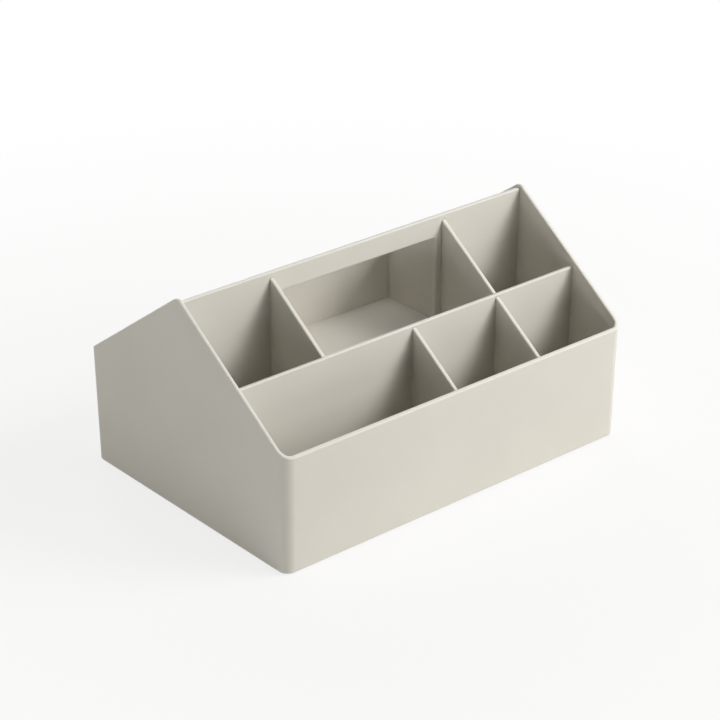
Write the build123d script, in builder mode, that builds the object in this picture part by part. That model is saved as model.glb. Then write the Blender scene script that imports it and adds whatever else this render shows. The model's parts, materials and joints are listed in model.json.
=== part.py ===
from build123d import *
import os
from math import radians, tan

# A desk tool box shaped like a small house: an open shell with two gables, a handle panel
# along the ridge, and thin dividers that stand in grooves and make ten open compartments.
# All sizes are in millimetres. Heights are measured from the desk, and the origin lies on
# the desk below the middle of the box. X runs along the handle and -Y is the front.

# Shell
length = 285.0             # outside, across the gables, level with the front wall's top
depth = 200.0              # outside, front to back, at the same level
wall_height = 79.5         # outer top edge of the front and back walls
ridge_height = 150.8       # where the two rim slopes would meet if the peak were sharp
ridge_radius = 6.0         # rounding of each gable's peak
corner_radius = 7.0        # upright corners, at their foot
draft = 0.8                # lean of the outer walls, in degrees
shell_wall = 2.6
floor_thickness = 2.6
foot_edge_radius = 1.2     # edge between the walls and the underside
rim_radius = 0.8           # both edges of the shell's rim

# Handle panel
handle_thickness = 3.0
handle_drop = 3.3          # its top lies this far below the sharp ridge
bar_height = 14.8          # the bar that the hand closes around
grip_margin = 5.4          # panel left standing between the grip opening and a deep divider
grip_corner_radius = 1.5
handle_edge_radius = 0.8

# Dividers
long_thickness = 2.6       # the two lengthwise dividers
long_place = 52.6          # middle of the box to the middle of a lengthwise divider
cross_thickness = 2.8      # the eight cross dividers
cross_place = 71.8         # middle of the box to the middle of an outer cross divider
grid_drop = 6.3            # divider tops lie this far below the rim slope
divider_edge_radius = 0.6

# Raised tray under the handle
tray_top = 69.8
tray_thickness = 2.6

# Grooves that hold the panels
groove_depth = 0.8         # in the shell, the handle panel and the lengthwise dividers
play = 0.1                 # gap between a panel's edge or face and its groove

# Anti-slip feet
foot_radius = 6.0
foot_proud = 0.8           # how far a foot stands out below the shell
foot_recess = 0.8          # how deep it sits in the underside
foot_inset = 22.0          # from the shell's sides to the foot's middle
foot_chamfer = 0.3

# Values that follow from the ones above
lean = tan(radians(draft))
slope = (ridge_height - wall_height) / (depth / 2)
underside = foot_proud
floor_top = underside + floor_thickness
groove_floor = floor_top - groove_depth
handle_top = ridge_height - handle_drop
bar_underside = handle_top - bar_height
cross_inner_face = cross_place - cross_thickness / 2
grip_width = 2 * (cross_inner_face - grip_margin)
tray_underside = tray_top - tray_thickness
long_inner_face = long_place - long_thickness / 2
long_outer_face = long_place + long_thickness / 2


def half_length(height):
    """Half the shell's outside length at a height."""
    return length / 2 + (height - wall_height) * lean


def half_depth(height):
    """Half the shell's outside depth at a height."""
    return depth / 2 + (height - wall_height) * lean


def rim_slope(distance):
    """Height of the rim's slope at a distance in front of or behind the ridge."""
    return ridge_height - distance * slope


def on_rim(edge):
    """Whether an edge of the shell runs along its sloping rim, and not across it."""
    middle = edge @ 0.5
    height = rim_slope(abs(middle.Y))
    return height - ridge_radius / 2 < middle.Z < height + 0.01 and edge.length > 2 * shell_wall


def on_grip(edge):
    """Whether an edge outlines the grip opening on the front or back of the handle panel."""
    middle = edge @ 0.5
    return (
        abs(abs(middle.Y) - handle_thickness / 2) < 0.01
        and abs(middle.X) < grip_width / 2 + 0.01
        and tray_underside + 0.01 < middle.Z < bar_underside + 0.01
    )


def tapered_block(bottom, inset, radius):
    """A block from a height up past the ridge, with the shell's lean, inside its outer face."""
    with BuildPart() as block:
        with BuildSketch(Plane.XY.offset(bottom)):
            RectangleRounded(
                2 * (half_length(bottom) - inset), 2 * (half_depth(bottom) - inset), radius
            )
        extrude(amount=ridge_height - bottom, taper=-draft)
    return block.part


def handle_plate(grow):
    """The handle panel without its opening; grown by a gap, it is the groove that takes it."""
    reach = groove_depth - play + grow - shell_wall
    with BuildPart() as plate:
        with BuildSketch(Plane.XZ):
            with BuildLine():
                Polyline(
                    (-half_length(groove_floor) - reach, groove_floor),
                    (half_length(groove_floor) + reach, groove_floor),
                    (half_length(handle_top) + reach, handle_top + grow),
                    (-half_length(handle_top) - reach, handle_top + grow),
                    close=True,
                )
            make_face()
        extrude(amount=handle_thickness / 2 + grow, both=True)
    return plate.part


def long_plate(side, grow):
    """A lengthwise divider in front of (-1) or behind (1) the handle, or its groove."""
    reach = groove_depth - play + grow - shell_wall
    top = rim_slope(long_inner_face) - grid_drop + grow
    with BuildPart() as plate:
        with BuildSketch(Plane.XZ.offset(-side * long_place)):
            with BuildLine():
                Polyline(
                    (-half_length(groove_floor) - reach, groove_floor),
                    (half_length(groove_floor) + reach, groove_floor),
                    (half_length(top) + reach, top),
                    (-half_length(top) - reach, top),
                    close=True,
                )
            make_face()
        extrude(amount=long_thickness / 2 + grow, both=True)
    return plate.part


def deep_plate(place, side, grow):
    """A cross divider between the handle panel and a lengthwise divider, or its groove."""
    inner = handle_thickness / 2 - groove_depth + play - grow
    outer = long_inner_face + groove_depth - play + grow
    with BuildPart() as plate:
        with BuildSketch(Plane.YZ.offset(place)):
            with BuildLine():
                Polyline(
                    (side * inner, groove_floor),
                    (side * outer, groove_floor),
                    (side * outer, rim_slope(outer) - grid_drop + grow),
                    (side * inner, rim_slope(inner) - grid_drop + grow),
                    close=True,
                )
            make_face()
        extrude(amount=cross_thickness / 2 + grow, both=True)
    return plate.part


def low_plate(place, side, grow):
    """A cross divider between a lengthwise divider and the outer wall, or its groove."""
    inner = long_outer_face - groove_depth + play - grow
    reach = groove_depth - play + grow - shell_wall
    top_reach = (depth / 2 + reach + (ridge_height - grid_drop - wall_height) * lean) / (
        1 + slope * lean
    )
    with BuildPart() as plate:
        with BuildSketch(Plane.YZ.offset(place)):
            with BuildLine():
                Polyline(
                    (side * inner, groove_floor),
                    (side * (half_depth(groove_floor) + reach), groove_floor),
                    (side * top_reach, rim_slope(top_reach) - grid_drop + grow),
                    (side * inner, rim_slope(inner) - grid_drop + grow),
                    close=True,
                )
            make_face()
        extrude(amount=cross_thickness / 2 + grow, both=True)
    return plate.part


def tray_plate(grow):
    """The raised tray before its notches are cut; grown by a gap, it is its ends' groove."""
    tray_length = 2 * (cross_inner_face + groove_depth - play + grow)
    tray_depth = 2 * (long_inner_face - play)
    with BuildPart() as plate:
        with BuildSketch(Plane.XY.offset(tray_underside - grow)):
            Rectangle(tray_length, tray_depth)
        extrude(amount=tray_thickness + 2 * grow)
    return plate.part


# Where each cross divider stands. The back half is the front half turned round.
deep_places = {
    "deep_divider_front_left": (-cross_place, -1),
    "deep_divider_front_right": (cross_place, -1),
    "deep_divider_back_left": (-cross_place, 1),
    "deep_divider_back_right": (cross_place, 1),
}
low_places = {
    "low_divider_front_middle": (0.0, -1),
    "low_divider_front_right": (cross_place, -1),
    "low_divider_back_middle": (0.0, 1),
    "low_divider_back_left": (-cross_place, 1),
}
foot_places = {
    "foot_front_left": (-1, -1),
    "foot_front_right": (1, -1),
    "foot_back_left": (-1, 1),
    "foot_back_right": (1, 1),
}
deep_seats = [deep_plate(place, side, play) for place, side in deep_places.values()]
low_seats = [low_plate(place, side, play) for place, side in low_places.values()]
foot_middle_x = half_length(underside) - foot_inset
foot_middle_y = half_depth(underside) - foot_inset


# Outer shell: floor, front and back walls and the two gables, moulded in one piece
with BuildPart() as outer_shell:
    add(tapered_block(underside, 0, corner_radius))
    fillet(outer_shell.edges().group_by(Axis.Z)[0], foot_edge_radius)
    add(
        tapered_block(floor_top, shell_wall, corner_radius - shell_wall),
        mode=Mode.SUBTRACT,
    )
    with BuildSketch(Plane.YZ) as house:
        eave = half_depth(ridge_height)
        with BuildLine():
            Polyline(
                (-eave, 0),
                (eave, 0),
                (eave, rim_slope(eave)),
                (0, ridge_height),
                (-eave, rim_slope(eave)),
                close=True,
            )
        make_face()
        fillet(house.vertices().sort_by(Axis.Y)[-1], ridge_radius)
    extrude(amount=length, both=True, mode=Mode.INTERSECT)
    rim_edges = outer_shell.edges().filter_by(on_rim)
    fillet(rim_edges, rim_radius)
    add(handle_plate(play), mode=Mode.SUBTRACT)
    add(long_plate(-1, play), mode=Mode.SUBTRACT)
    add(long_plate(1, play), mode=Mode.SUBTRACT)
    add(deep_seats, mode=Mode.SUBTRACT)
    add(low_seats, mode=Mode.SUBTRACT)
    with BuildSketch(Plane.XY.offset(underside)):
        with Locations(*[(x * foot_middle_x, y * foot_middle_y) for x, y in foot_places.values()]):
            Circle(foot_radius + play)
    extrude(amount=foot_recess, mode=Mode.SUBTRACT)
outer_shell.part.label = "outer_shell"

# Handle panel: a wall along the ridge whose bar is left standing above the grip opening
with BuildPart() as handle_panel:
    add(handle_plate(0))
    top_edges = handle_panel.edges().filter_by(Axis.X).group_by(Axis.Z)[-1]
    fillet(top_edges, handle_edge_radius)
    with BuildSketch(Plane.XZ) as grip:
        with Locations((0, tray_underside)):
            Rectangle(grip_width, bar_underside - tray_underside, align=(Align.CENTER, Align.MIN))
        fillet(grip.vertices().group_by(Axis.Y)[-1], grip_corner_radius)
    extrude(amount=handle_thickness, both=True, mode=Mode.SUBTRACT)
    grip_edges = handle_panel.edges().filter_by(on_grip)
    fillet(grip_edges, handle_edge_radius)
    add(deep_seats, mode=Mode.SUBTRACT)
handle_panel.part.label = "handle_panel"


def make_long_divider(name, side):
    """A lengthwise divider with grooves for the cross dividers on both of its faces."""
    with BuildPart() as divider:
        add(long_plate(side, 0))
        top_edges = divider.edges().filter_by(Axis.X).group_by(Axis.Z)[-1]
        fillet(top_edges, divider_edge_radius)
        add(deep_seats, mode=Mode.SUBTRACT)
        add(low_seats, mode=Mode.SUBTRACT)
    divider.part.label = name
    return divider.part


def make_deep_divider(name, place, side):
    """A deep cross divider: rounded along its sloping top, with a groove for the tray's end."""
    with BuildPart() as divider:
        add(deep_plate(place, side, 0))
        top_face = divider.faces().sort_by(Axis.Z)[-1]
        fillet(top_face.edges().sort_by(SortBy.LENGTH)[-2:], divider_edge_radius)
        add(tray_plate(play), mode=Mode.SUBTRACT)
    divider.part.label = name
    return divider.part


def make_low_divider(name, place, side):
    """A low cross divider, rounded along its sloping top."""
    with BuildPart() as divider:
        add(low_plate(place, side, 0))
        top_face = divider.faces().sort_by(Axis.Z)[-1]
        fillet(top_face.edges().sort_by(SortBy.LENGTH)[-2:], divider_edge_radius)
    divider.part.label = name
    return divider.part


# Raised tray: it lies in the grip opening, on the handle panel's lower part, and its ends
# sit in grooves of the four deep dividers. A notch at each end clears the panel's upright.
with BuildPart() as raised_tray:
    add(tray_plate(0))
    with BuildSketch(Plane.XY.offset(tray_underside)):
        Rectangle(2 * cross_place, handle_thickness + 2 * play)
        Rectangle(grip_width - 2 * play, handle_thickness + 2 * play, mode=Mode.SUBTRACT)
    extrude(amount=tray_thickness, mode=Mode.SUBTRACT)
raised_tray.part.label = "raised_tray"


def make_foot(name, side_x, side_y):
    """A round anti-slip foot, set into the underside near one corner."""
    with BuildPart() as foot:
        with BuildSketch():
            with Locations((side_x * foot_middle_x, side_y * foot_middle_y)):
                Circle(foot_radius)
        extrude(amount=foot_proud + foot_recess)
        chamfer(foot.edges().group_by(Axis.Z)[0], foot_chamfer)
    foot.part.label = name
    return foot.part


pieces = [outer_shell.part, handle_panel.part, raised_tray.part]
pieces.append(make_long_divider("long_divider_front", -1))
pieces.append(make_long_divider("long_divider_back", 1))
for name, (place, side) in deep_places.items():
    pieces.append(make_deep_divider(name, place, side))
for name, (place, side) in low_places.items():
    pieces.append(make_low_divider(name, place, side))
for name, (side_x, side_y) in foot_places.items():
    pieces.append(make_foot(name, side_x, side_y))

os.makedirs("parts", exist_ok=True)
for piece in pieces:
    export_step(piece, f"parts/{piece.label}.step")
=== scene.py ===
import json
import math

import bpy
from bpy.props import FloatProperty, FloatVectorProperty, PointerProperty
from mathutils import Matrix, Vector

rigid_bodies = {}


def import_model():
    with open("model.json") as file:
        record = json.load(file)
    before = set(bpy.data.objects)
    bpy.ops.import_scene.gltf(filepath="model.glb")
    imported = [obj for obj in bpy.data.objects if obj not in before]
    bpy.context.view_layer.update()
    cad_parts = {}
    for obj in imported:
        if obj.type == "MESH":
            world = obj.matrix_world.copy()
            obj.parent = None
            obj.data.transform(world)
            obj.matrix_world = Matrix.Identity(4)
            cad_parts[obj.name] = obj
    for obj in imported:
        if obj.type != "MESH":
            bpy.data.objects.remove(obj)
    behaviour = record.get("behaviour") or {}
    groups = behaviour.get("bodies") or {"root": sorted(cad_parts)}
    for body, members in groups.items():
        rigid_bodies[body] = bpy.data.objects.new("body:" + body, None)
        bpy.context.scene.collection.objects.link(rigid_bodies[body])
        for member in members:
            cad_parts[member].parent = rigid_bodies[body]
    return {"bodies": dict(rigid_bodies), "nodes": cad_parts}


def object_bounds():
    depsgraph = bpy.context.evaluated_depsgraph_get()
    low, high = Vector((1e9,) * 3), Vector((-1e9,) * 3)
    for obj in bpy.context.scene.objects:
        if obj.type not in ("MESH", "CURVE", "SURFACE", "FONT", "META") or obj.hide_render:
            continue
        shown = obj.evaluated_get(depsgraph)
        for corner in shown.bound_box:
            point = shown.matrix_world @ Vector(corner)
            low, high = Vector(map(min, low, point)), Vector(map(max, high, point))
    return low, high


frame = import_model()
CAD_LOW, CAD_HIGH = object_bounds()

bl_info = {
    "name": "Desk Tool Box",
    "version": (1, 0, 0),
    "blender": (4, 5, 0),
    "location": "View3D > Sidebar > Tool Box",
    "description": "Finishes a divided desk tool box in moulded ABS and sets up its studio",
    "category": "Object",
}

LONG_DIVIDERS = ("long_divider_front", "long_divider_back")
DEEP_DIVIDERS = (
    "deep_divider_front_left",
    "deep_divider_front_right",
    "deep_divider_back_left",
    "deep_divider_back_right",
)
LOW_DIVIDERS = (
    "low_divider_front_middle",
    "low_divider_front_right",
    "low_divider_back_left",
    "low_divider_back_middle",
)
FEET = ("foot_front_left", "foot_front_right", "foot_back_left", "foot_back_right")

ABS_NAME = "moulded_abs_satin"
ABS_IOR = 1.53
# Roughness of the satin skin where it copies the mould worst and best, and how much of it is
# gone where an edge is rubbed smooth.
ABS_ROUGHNESS_WORST, ABS_ROUGHNESS_BEST = 0.54, 0.62
ABS_RUBBED_AWAY = 0.15
# Noise values at which a cloud in the pigment or a patch of flow begins, and at which it is full.
CLOUD_BEGINS, CLOUD_FULL = 0.35, 0.65
FLOW_BEGINS, FLOW_FULL = 0.3, 0.7
# Likeness of the rounded and the true normal at which the edge band begins, and at which it is
# full.
# The band's colour is a painted highlight, and its skin is made glossier as if rubbed.
EDGE_BAND_BEGINS, EDGE_BAND_FULL = 0.998, 0.95

RUBBER_IOR = 1.5
RUBBER_ROUGHNESS_CLEAN, RUBBER_ROUGHNESS_DUSTY = 0.72, 0.88
RUBBER_GRAIN_DEPTH = 0.00002
# Noise values at which a speck of dust begins, and at which it is full.
DUST_BEGINS, DUST_FULL = 0.5, 0.75

FLOOR_HALF_WIDTH = 4.0
FLOOR_ROUGHNESS = 0.3
# Way out from the box's middle up to which the floor keeps its whole shadow.
SHADOW_CORE = 0.16
SENSOR_WIDTH_MM = 36.0

# Sockets of a Mix node that blends two colours.
MIX_SHARE, MIX_FIRST, MIX_SECOND, MIXED = 0, 6, 7, 2


def linear(hex_colour):
    """Turns an sRGB hex colour into linear red, green and blue."""
    channels = [int(hex_colour[i:i + 2], 16) / 255 for i in (1, 3, 5)]
    return tuple(c / 12.92 if c <= 0.04045 else ((c + 0.055) / 1.055) ** 2.4 for c in channels)


def add_node(tree, kind, settings=None, values=None, links=None):
    """Adds a node with its settings, its sockets' values and the outputs linked to its sockets."""
    node = tree.nodes.new(kind)
    for name, value in (settings or {}).items():
        setattr(node, name, value)
    for socket, value in (values or {}).items():
        node.inputs[socket].default_value = value
    for socket, output in (links or {}).items():
        tree.links.new(output, node.inputs[socket])
    return node


def empty_material(name):
    """A new material with no nodes in it yet."""
    material = bpy.data.materials.new(name)
    material.use_nodes = True
    material.node_tree.nodes.clear()
    return material


class MouldedAbs(bpy.types.PropertyGroup):
    """Colours and grain sizes of the moulded ABS that the shell and its panels are made of."""

    colour: FloatVectorProperty(
        name="Colour",
        description="Warm light grey of the pigmented ABS",
        subtype="COLOR",
        min=0.0,
        max=1.0,
        default=linear("#D8D4CA"),
    )
    cloud_colour: FloatVectorProperty(
        name="Cloud Colour",
        description="Slightly deeper grey where the pigment flowed together in the mould",
        subtype="COLOR",
        min=0.0,
        max=1.0,
        default=linear("#D5D1C7"),
    )
    # Painted highlight: this paler grey along the edges stands for the light that the rounded rims
    # catch.
    edge_highlight_colour: FloatVectorProperty(
        name="Edge Colour",
        description="Paler grey along edges, where the satin skin is rubbed smooth",
        subtype="COLOR",
        min=0.0,
        max=1.0,
        default=linear("#F3F1EA"),
    )
    cloud_size: FloatProperty(
        name="Cloud Size",
        description="Width of one cloud in the pigment",
        unit="LENGTH",
        min=0.005,
        default=0.07,
    )
    flow_size: FloatProperty(
        name="Flow Size",
        description="Width of the patches where the skin copies the mould a little better",
        unit="LENGTH",
        min=0.002,
        default=0.022,
    )
    grain_size: FloatProperty(
        name="Grain Size",
        description="Width of one pit of the spark-eroded satin skin, as it is drawn",
        unit="LENGTH",
        min=0.0001,
        default=0.0009,
    )
    grain_depth: FloatProperty(
        name="Grain Depth",
        description="Depth of the pits of the satin skin",
        unit="LENGTH",
        min=0.0,
        default=0.000012,
    )
    # Reach of the edge band. Its colour is a painted highlight, and its skin is made glossier as
    # if rubbed.
    edge_width: FloatProperty(
        name="Edge Width",
        description="Reach of the rubbed band along each edge",
        unit="LENGTH",
        min=0.0,
        default=0.0013,
    )


class FootRubber(bpy.types.PropertyGroup):
    """Colours and grain of the soft anti-slip feet."""

    colour: FloatVectorProperty(
        name="Colour",
        description="Pale grey of the thermoplastic rubber",
        subtype="COLOR",
        min=0.0,
        max=1.0,
        default=linear("#B4B1AA"),
    )
    dust_colour: FloatVectorProperty(
        name="Dust Colour",
        description="Lighter grey of the fine dust that soft rubber holds",
        subtype="COLOR",
        min=0.0,
        max=1.0,
        default=linear("#C4C1BA"),
    )
    speck_size: FloatProperty(
        name="Speck Size",
        description="Width of the dusty specks, as they are drawn",
        unit="LENGTH",
        min=0.0001,
        default=0.0012,
    )


class Studio(bpy.types.PropertyGroup):
    """Camera, lamps and floor."""

    azimuth: FloatProperty(
        name="Azimuth",
        description="Direction of the camera round the box, where 0 looks at the front",
        subtype="ANGLE",
        default=math.radians(-40.45),
    )
    elevation: FloatProperty(
        name="Elevation",
        description="Height of the camera above the horizon, as an angle",
        subtype="ANGLE",
        default=math.radians(26.2),
    )
    distance: FloatProperty(
        name="Distance",
        description="From the camera to the point that it looks at",
        unit="LENGTH",
        min=0.1,
        default=1.5,
    )
    lens: FloatProperty(
        name="Lens",
        description="Focal length in millimetres, for a picture 36 mm wide",
        min=10.0,
        default=115.0,
    )
    aim: FloatVectorProperty(
        name="Aim",
        description="Point that the camera looks at",
        subtype="XYZ",
        unit="LENGTH",
        default=(0.0012, 0.0, 0.063),
    )
    key_power: FloatProperty(
        name="Key Power",
        description="Power of the main softbox, in front and to the right",
        unit="POWER",
        min=0.0,
        default=47.5,
    )
    front_power: FloatProperty(
        name="Front Power",
        description="Power of the softbox in front, which evens out the key",
        unit="POWER",
        min=0.0,
        default=18.0,
    )
    left_power: FloatProperty(
        name="Left Power",
        description="Power of the low softbox on the left",
        unit="POWER",
        min=0.0,
        default=9.5,
    )
    back_power: FloatProperty(
        name="Back Power",
        description="Power of the low softbox behind",
        unit="POWER",
        min=0.0,
        default=20.0,
    )
    top_power: FloatProperty(
        name="Top Power",
        description="Power of the softbox overhead",
        unit="POWER",
        min=0.0,
        default=8.0,
    )
    room_light: FloatProperty(
        name="Room Light",
        description="Strength of the even light from all round",
        min=0.0,
        default=0.03,
    )
    floor_colour: FloatVectorProperty(
        name="Floor Colour",
        description="Near-white of the plain floor",
        subtype="COLOR",
        min=0.0,
        max=1.0,
        default=linear("#F2F1EE"),
    )
    floor_whiteness: FloatProperty(
        name="Floor Whiteness",
        description="Share of plain white that the camera sees in the floor under the box",
        subtype="FACTOR",
        min=0.0,
        max=1.0,
        default=0.8,
    )
    shadow_reach: FloatProperty(
        name="Shadow Reach",
        description="Way out from the box's middle at which the floor has turned all white",
        unit="LENGTH",
        min=0.2,
        default=0.75,
    )


def moulded_abs(finish):
    """Injection-moulded ABS, pigmented all through, from a spark-eroded satin mould."""
    # The eroded mould leaves a fine even skin, so highlights are broad and soft. Pigment and
    # flow leave clouds that are only just visible. Edges get a painted highlight, a paler colour
    # for the light that the rounded rims catch, and a smoother skin as if rubbed.
    material = empty_material(ABS_NAME)
    tree = material.node_tree
    place = add_node(tree, "ShaderNodeTexCoord").outputs["Object"]

    clouds = add_node(
        tree,
        "ShaderNodeTexNoise",
        values={"Scale": 1 / finish.cloud_size, "Detail": 3.0, "Roughness": 0.55},
        links={"Vector": place},
    )
    cloud_share = add_node(
        tree,
        "ShaderNodeMapRange",
        values={"From Min": CLOUD_BEGINS, "From Max": CLOUD_FULL},
        links={"Value": clouds.outputs["Fac"]},
    )
    cloudy = add_node(
        tree,
        "ShaderNodeMix",
        {"data_type": "RGBA"},
        {MIX_FIRST: (*finish.colour, 1.0), MIX_SECOND: (*finish.cloud_colour, 1.0)},
        {MIX_SHARE: cloud_share.outputs["Result"]},
    )

    # The rounded normal leaves the true one only along an edge, which marks the band that gets
    # the painted highlight and the smoother skin.
    rounded = add_node(
        tree, "ShaderNodeBevel", {"samples": 6}, {"Radius": finish.edge_width}
    )
    surface = add_node(tree, "ShaderNodeNewGeometry")
    likeness = add_node(
        tree,
        "ShaderNodeVectorMath",
        {"operation": "DOT_PRODUCT"},
        links={0: rounded.outputs["Normal"], 1: surface.outputs["Normal"]},
    )
    painted_highlight_and_rubbing = add_node(
        tree,
        "ShaderNodeMapRange",
        values={"From Min": EDGE_BAND_BEGINS, "From Max": EDGE_BAND_FULL},
        links={"Value": likeness.outputs["Value"]},
    )
    # Painted highlight: along the edge band the colour turns to the paler edge colour, which
    # stands for the light that the rounded rims catch.
    colour = add_node(
        tree,
        "ShaderNodeMix",
        {"data_type": "RGBA"},
        {MIX_SECOND: (*finish.edge_highlight_colour, 1.0)},
        {MIX_SHARE: painted_highlight_and_rubbing.outputs["Result"], MIX_FIRST: cloudy.outputs[MIXED]},
    )

    # Skin that copies the mould better is a little duller, and skin in the edge band is glossier,
    # as if rubbing had smoothed it.
    flow = add_node(
        tree,
        "ShaderNodeTexNoise",
        values={"Scale": 1 / finish.flow_size, "Detail": 2.0, "Roughness": 0.5},
        links={"Vector": place},
    )
    skin = add_node(
        tree,
        "ShaderNodeMapRange",
        values={
            "From Min": FLOW_BEGINS,
            "From Max": FLOW_FULL,
            "To Min": ABS_ROUGHNESS_WORST,
            "To Max": ABS_ROUGHNESS_BEST,
        },
        links={"Value": flow.outputs["Fac"]},
    )
    roughness = add_node(
        tree,
        "ShaderNodeMath",
        {"operation": "MULTIPLY_ADD"},
        {1: -ABS_RUBBED_AWAY},
        {0: painted_highlight_and_rubbing.outputs["Result"], 2: skin.outputs["Result"]},
    )

    # Real pits are about 0.2 mm wide. They are drawn wider, because finer ones don't show.
    grain = add_node(
        tree,
        "ShaderNodeTexNoise",
        values={"Scale": 1 / finish.grain_size, "Detail": 2.0, "Roughness": 0.6},
        links={"Vector": place},
    )
    pits = add_node(
        tree,
        "ShaderNodeBump",
        values={"Strength": 0.6, "Distance": finish.grain_depth},
        links={"Height": grain.outputs["Fac"], "Normal": rounded.outputs["Normal"]},
    )

    plastic = add_node(
        tree,
        "ShaderNodeBsdfPrincipled",
        values={"IOR": ABS_IOR, "Metallic": 0.0},
        links={
            "Base Color": colour.outputs[MIXED],
            "Roughness": roughness.outputs["Value"],
            "Normal": pits.outputs["Normal"],
        },
    )
    add_node(
        tree, "ShaderNodeOutputMaterial", links={"Surface": plastic.outputs["BSDF"]}
    )
    return material


def soft_rubber(finish):
    """Moulded thermoplastic rubber: matte all over, with fine dust held on its skin."""
    # Dust gathers in specks finer than half a millimetre. They are drawn wider, so that they
    # show, and are paler and duller than the clean rubber between them.
    material = empty_material("moulded_soft_rubber")
    tree = material.node_tree
    place = add_node(tree, "ShaderNodeTexCoord").outputs["Object"]
    dust = add_node(
        tree,
        "ShaderNodeTexNoise",
        values={"Scale": 1 / finish.speck_size, "Detail": 4.0, "Roughness": 0.7},
        links={"Vector": place},
    )
    dusty = add_node(
        tree,
        "ShaderNodeMapRange",
        values={"From Min": DUST_BEGINS, "From Max": DUST_FULL},
        links={"Value": dust.outputs["Fac"]},
    )
    colour = add_node(
        tree,
        "ShaderNodeMix",
        {"data_type": "RGBA"},
        {MIX_FIRST: (*finish.colour, 1.0), MIX_SECOND: (*finish.dust_colour, 1.0)},
        {MIX_SHARE: dusty.outputs["Result"]},
    )
    roughness = add_node(
        tree,
        "ShaderNodeMapRange",
        values={"To Min": RUBBER_ROUGHNESS_CLEAN, "To Max": RUBBER_ROUGHNESS_DUSTY},
        links={"Value": dusty.outputs["Result"]},
    )
    skin = add_node(
        tree,
        "ShaderNodeBump",
        values={"Strength": 0.4, "Distance": RUBBER_GRAIN_DEPTH},
        links={"Height": dust.outputs["Fac"]},
    )
    rubber = add_node(
        tree,
        "ShaderNodeBsdfPrincipled",
        values={"IOR": RUBBER_IOR, "Metallic": 0.0},
        links={
            "Base Color": colour.outputs[MIXED],
            "Roughness": roughness.outputs["Result"],
            "Normal": skin.outputs["Normal"],
        },
    )
    add_node(
        tree, "ShaderNodeOutputMaterial", links={"Surface": rubber.outputs["BSDF"]}
    )
    return material


def white_for_camera(tree):
    """1 for what the camera sees, directly, reflected or through glass, and 0 for lighting."""
    rays = add_node(tree, "ShaderNodeLightPath")
    either = add_node(
        tree,
        "ShaderNodeMath",
        {"operation": "MAXIMUM"},
        links={0: rays.outputs["Is Camera Ray"], 1: rays.outputs["Is Glossy Ray"]},
    )
    return add_node(
        tree,
        "ShaderNodeMath",
        {"operation": "MAXIMUM"},
        links={0: either.outputs["Value"], 1: rays.outputs["Is Transmission Ray"]},
    ).outputs["Value"]


def painted_floor(studio):
    """Matte painted board, near white, in which the camera also sees plain white."""
    # The paint has no gloss, so the box leaves a soft shadow on it and no reflection. The board
    # keeps that shadow round the box and fades to white further out, where its unlit far end
    # would otherwise show as a grey band behind the box.
    material = empty_material("matte_painted_board")
    tree = material.node_tree
    place = add_node(tree, "ShaderNodeTexCoord").outputs["Object"]
    way_out = add_node(
        tree, "ShaderNodeVectorMath", {"operation": "LENGTH"}, links={0: place}
    )
    whiteness = add_node(
        tree,
        "ShaderNodeMapRange",
        {"interpolation_type": "SMOOTHSTEP"},
        {
            "From Min": SHADOW_CORE,
            "From Max": studio.shadow_reach,
            "To Min": studio.floor_whiteness,
            "To Max": 1.0,
        },
        {"Value": way_out.outputs["Value"]},
    )
    paint = add_node(
        tree,
        "ShaderNodeBsdfDiffuse",
        values={"Color": (*studio.floor_colour, 1.0), "Roughness": FLOOR_ROUGHNESS},
    )
    white = add_node(tree, "ShaderNodeEmission", values={"Strength": 1.0})
    share = add_node(
        tree,
        "ShaderNodeMath",
        {"operation": "MULTIPLY"},
        links={0: white_for_camera(tree), 1: whiteness.outputs["Result"]},
    )
    board = add_node(
        tree,
        "ShaderNodeMixShader",
        links={0: share.outputs["Value"], 1: paint.outputs["BSDF"], 2: white.outputs["Emission"]},
    )
    # From below the board is clear, so that the underside of the box can be looked at.
    clear = add_node(tree, "ShaderNodeBsdfTransparent")
    side = add_node(tree, "ShaderNodeNewGeometry")
    one_sided = add_node(
        tree,
        "ShaderNodeMixShader",
        links={0: side.outputs["Backfacing"], 1: board.outputs[0], 2: clear.outputs["BSDF"]},
    )
    add_node(tree, "ShaderNodeOutputMaterial", links={"Surface": one_sided.outputs[0]})
    return material


def studio_world(studio):
    """Even white light from all round, in which the camera sees plain white."""
    world = bpy.data.worlds.new("studio_room")
    world.use_nodes = True
    tree = world.node_tree
    tree.nodes.clear()
    white = (*linear("#FFFFFF"), 1.0)
    room, backdrop = [
        add_node(tree, "ShaderNodeBackground", values={"Color": white, "Strength": strength})
        for strength in (studio.room_light, 1.0)
    ]
    both = add_node(
        tree,
        "ShaderNodeMixShader",
        links={
            0: white_for_camera(tree),
            1: room.outputs["Background"],
            2: backdrop.outputs["Background"],
        },
    )
    add_node(tree, "ShaderNodeOutputWorld", links={"Surface": both.outputs[0]})
    return world


def outward(turn, rise):
    """Direction from the box to a camera or lamp at a turn and a rise above the horizon."""
    return Vector(
        (math.sin(turn) * math.cos(rise), -math.cos(turn) * math.cos(rise), math.sin(rise))
    )


def stand(name, data, target, away, distance):
    """Stands a camera or lamp at a distance from its target, and turns it to face it."""
    thing = bpy.data.objects.new(name, data)
    thing.location = target + away * distance
    thing.rotation_euler = (-away).to_track_quat("-Z", "Y").to_euler()
    bpy.context.scene.collection.objects.link(thing)
    return thing


def place_softbox(name, power, size, turn, rise, distance):
    """Hangs a square softbox that faces the box's middle, at a turn and a rise in degrees."""
    lamp = bpy.data.lights.new(name, "AREA")
    lamp.shape = "SQUARE"
    lamp.size = size
    lamp.energy = power
    away = outward(math.radians(turn), math.radians(rise))
    stand(name, lamp, (CAD_LOW + CAD_HIGH) / 2, away, distance)


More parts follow.
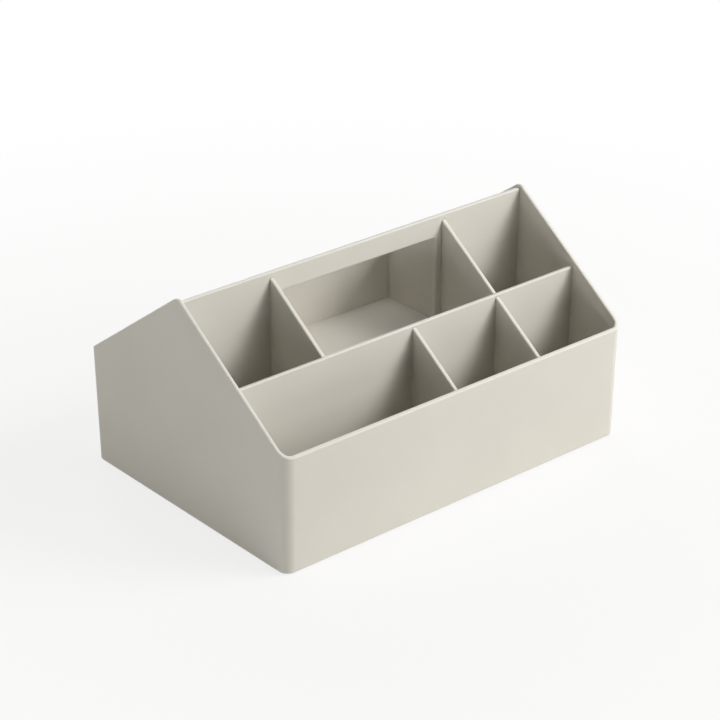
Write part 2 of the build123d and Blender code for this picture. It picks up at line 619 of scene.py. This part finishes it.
def abs_of(context):
    """The moulded ABS, made once and shared by every piece of it."""
    made = bpy.data.materials.get(ABS_NAME)
    return made or moulded_abs(context.scene.tool_box_abs)


def dress(names, material):
    """Gives the pieces their material in every slot."""
    for name in names:
        if name not in frame["nodes"]:
            raise RuntimeError(f"the packed model has no piece named {name}")
        for slot in frame["nodes"][name].material_slots:
            slot.material = material


class TOOLBOX_OT_finish_shell(bpy.types.Operator):
    """Gives the outer shell its moulded ABS"""

    bl_idname = "tool_box.finish_shell"
    bl_label = "Finish Shell"

    def execute(self, context):
        dress(("outer_shell",), abs_of(context))
        return {"FINISHED"}


class TOOLBOX_OT_finish_handle(bpy.types.Operator):
    """Gives the handle panel its moulded ABS"""

    bl_idname = "tool_box.finish_handle"
    bl_label = "Finish Handle Panel"

    def execute(self, context):
        dress(("handle_panel",), abs_of(context))
        return {"FINISHED"}


class TOOLBOX_OT_finish_tray(bpy.types.Operator):
    """Gives the raised tray its moulded ABS"""

    bl_idname = "tool_box.finish_tray"
    bl_label = "Finish Raised Tray"

    def execute(self, context):
        dress(("raised_tray",), abs_of(context))
        return {"FINISHED"}


class TOOLBOX_OT_finish_dividers(bpy.types.Operator):
    """Gives the lengthwise, deep and low dividers their moulded ABS"""

    bl_idname = "tool_box.finish_dividers"
    bl_label = "Finish Dividers"

    def execute(self, context):
        dress(LONG_DIVIDERS + DEEP_DIVIDERS + LOW_DIVIDERS, abs_of(context))
        return {"FINISHED"}


class TOOLBOX_OT_finish_feet(bpy.types.Operator):
    """Gives the four anti-slip feet their soft rubber"""

    bl_idname = "tool_box.finish_feet"
    bl_label = "Finish Feet"

    def execute(self, context):
        dress(FEET, soft_rubber(context.scene.tool_box_rubber))
        return {"FINISHED"}


class TOOLBOX_OT_build_studio(bpy.types.Operator):
    """Builds the plain floor, the room, the softboxes and the camera"""

    bl_idname = "tool_box.build_studio"
    bl_label = "Build Studio"

    def execute(self, context):
        studio = context.scene.tool_box_studio
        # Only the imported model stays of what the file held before.
        kept = set(frame["nodes"].values()) | set(frame["bodies"].values())
        for thing in [thing for thing in bpy.data.objects if thing not in kept]:
            bpy.data.objects.remove(thing)

        floor_mesh = bpy.data.meshes.new("floor")
        corners = [
            (x * FLOOR_HALF_WIDTH, y * FLOOR_HALF_WIDTH, 0)
            for x, y in ((-1, -1), (1, -1), (1, 1), (-1, 1))
        ]
        floor_mesh.from_pydata(corners, [], [(0, 1, 2, 3)])
        floor_mesh.materials.append(painted_floor(studio))
        floor = bpy.data.objects.new("floor", floor_mesh)
        context.scene.collection.objects.link(floor)

        context.scene.world = studio_world(studio)
        place_softbox(
            "key_softbox", studio.key_power, size=1.3, turn=50, rise=35, distance=2.5
        )
        place_softbox(
            "front_softbox", studio.front_power, size=1.3, turn=25, rise=20, distance=2.5
        )
        place_softbox(
            "left_softbox", studio.left_power, size=0.5, turn=-92, rise=3, distance=2.0
        )
        place_softbox(
            "back_softbox", studio.back_power, size=1.0, turn=160, rise=12, distance=2.0
        )
        place_softbox(
            "top_softbox", studio.top_power, size=1.0, turn=0, rise=90, distance=2.0
        )

        lens = bpy.data.cameras.new("camera")
        lens.sensor_width = SENSOR_WIDTH_MM
        lens.lens = studio.lens
        away = outward(studio.azimuth, studio.elevation)
        camera = stand("camera", lens, Vector(studio.aim), away, studio.distance)
        context.scene.camera = camera
        context.scene.view_settings.view_transform = "Standard"
        return {"FINISHED"}


class TOOLBOX_PT_panel(bpy.types.Panel):
    """Lists the finishing steps and the studio of the tool box, and their settings"""

    bl_idname = "TOOLBOX_PT_panel"
    bl_label = "Desk Tool Box"
    bl_space_type = "VIEW_3D"
    bl_region_type = "UI"
    bl_category = "Tool Box"

    def draw(self, context):
        for operator in OPERATORS:
            self.layout.operator(operator.bl_idname)
        for group in ("tool_box_abs", "tool_box_rubber", "tool_box_studio"):
            settings = getattr(context.scene, group)
            box = self.layout.box()
            for name in settings.bl_rna.properties.keys():
                if name not in ("name", "rna_type"):
                    box.prop(settings, name)


OPERATORS = (
    TOOLBOX_OT_finish_shell,
    TOOLBOX_OT_finish_handle,
    TOOLBOX_OT_finish_tray,
    TOOLBOX_OT_finish_dividers,
    TOOLBOX_OT_finish_feet,
    TOOLBOX_OT_build_studio,
)
CLASSES = (MouldedAbs, FootRubber, Studio, *OPERATORS, TOOLBOX_PT_panel)


def register():
    for cls in CLASSES:
        bpy.utils.register_class(cls)
    bpy.types.Scene.tool_box_abs = PointerProperty(type=MouldedAbs)
    bpy.types.Scene.tool_box_rubber = PointerProperty(type=FootRubber)
    bpy.types.Scene.tool_box_studio = PointerProperty(type=Studio)


def unregister():
    del bpy.types.Scene.tool_box_studio
    del bpy.types.Scene.tool_box_rubber
    del bpy.types.Scene.tool_box_abs
    for cls in reversed(CLASSES):
        bpy.utils.unregister_class(cls)


def main():
    """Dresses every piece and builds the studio."""
    register()
    bpy.ops.tool_box.finish_shell()
    bpy.ops.tool_box.finish_handle()
    bpy.ops.tool_box.finish_tray()
    bpy.ops.tool_box.finish_dividers()
    bpy.ops.tool_box.finish_feet()
    bpy.ops.tool_box.build_studio()


if __name__ == "__main__":
    main()
